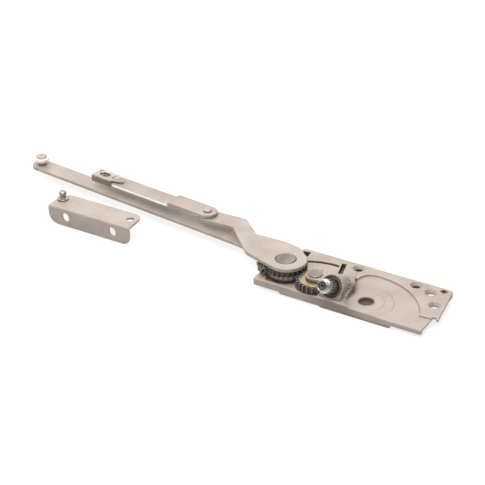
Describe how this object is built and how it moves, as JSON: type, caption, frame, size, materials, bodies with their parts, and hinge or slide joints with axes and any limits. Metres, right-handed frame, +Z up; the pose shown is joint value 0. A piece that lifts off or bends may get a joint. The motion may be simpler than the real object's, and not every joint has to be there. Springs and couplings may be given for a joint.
{
  "type": "dual-arm casement window operator",
  "caption": "Flat cast window operator with a leaning splined crank shaft, two swing arms off a geared hub, a link with a snap clip, and a loose angle bracket with a stud.",
  "frame": {"origin": "on the underside of the bottom cover, 72 mm from the base's left edge and 25 mm from its room-side edge", "axes": "+X along the base towards the end away from the arms, +Y towards the window, +Z up out of the sill; the splined shaft leans towards -Y"},
  "size_m": [0.3425, 0.0723, 0.0243],
  "materials": {
    "champagne_casting": "satin champagne coating on a zinc die casting",
    "champagne_steel": "satin champagne coating on stamped steel",
    "dark_steel": "greased dark sintered steel",
    "brass": "warm tan bearing brass",
    "bright_zinc": "bright zinc plate",
    "clip_steel": "nickel-coloured spring steel",
    "nylon": "off-white moulded nylon"
  },
  "bodies": {
    "base": {"base_casting": "champagne_casting", "bottom_cover": "champagne_steel", "cover_rivet_1": "dark_steel", "cover_rivet_2": "dark_steel", "cover_rivet_3": "dark_steel", "cover_rivet_4": "dark_steel", "hub_bush": "brass", "wheel_thrust_washer": "brass", "wheel_pin": "bright_zinc", "shaft_bush": "dark_steel", "shaft_retaining_ring": "dark_steel"},
    "drive_wheel": {"worm_wheel": "dark_steel", "wheel_brass_washer": "brass"},
    "crank_shaft": {"crank_shaft": "bright_zinc", "handle_screw_plug": "dark_steel"},
    "arms": {"hub_gear": "dark_steel", "long_arm": "champagne_steel", "crank_arm": "champagne_steel", "hub_rivet": "bright_zinc", "roller_pin": "champagne_steel"},
    "roller": {"roller": "nylon"},
    "link": {"link_bar": "champagne_steel", "link_rivet": "bright_zinc"},
    "clip": {"snap_clip": "clip_steel"},
    "sash_bracket": {"stud_bracket": "champagne_steel", "bracket_stud": "bright_zinc"}
  },
  "joints": [
    {"name": "arm_swing", "type": "hinge", "parent": "base", "child": "arms", "pos_m": [-0.058, -0.0072, 0.01], "axis": [0, 0, -1], "range_deg": [0, 90]},
    {"name": "wheel_turn", "type": "hinge", "parent": "base", "child": "drive_wheel", "pos_m": [-0.0336, -0.0127, 0.01], "axis": [0, 0, 1], "range_deg": [0, 107]},
    {"name": "shaft_turn", "type": "hinge", "parent": "base", "child": "crank_shaft", "pos_m": [-0.0183, -0.0194, 0.0141], "axis": [0, -0.866, 0.5], "range_deg": [0, 2345]},
    {"name": "roller_spin", "type": "hinge", "parent": "arms", "child": "roller", "pos_m": [-0.284, 0.032, 0.0141], "axis": [0, 0, 1], "continuous": true},
    {"name": "link_swing", "type": "hinge", "parent": "arms", "child": "link", "pos_m": [-0.133, 0.0177, 0.017], "axis": [0, 0, 1], "range_deg": [-100, 45]},
    {"name": "clip_slide", "type": "slide", "parent": "link", "child": "clip", "axis": [-0.9943, 0.1063, 0], "range_m": [0, 0.005]},
    {"name": "bracket_lift", "type": "slide", "parent": "base", "child": "sash_bracket", "axis": [0, 0, 1], "range_m": [0, 0.02]}
  ],
  "couplings": [
    {"joint": "wheel_turn", "follows": "arm_swing", "ratio": 1.1818},
    {"joint": "shaft_turn", "follows": "arm_swing", "ratio": 26}
  ]
}
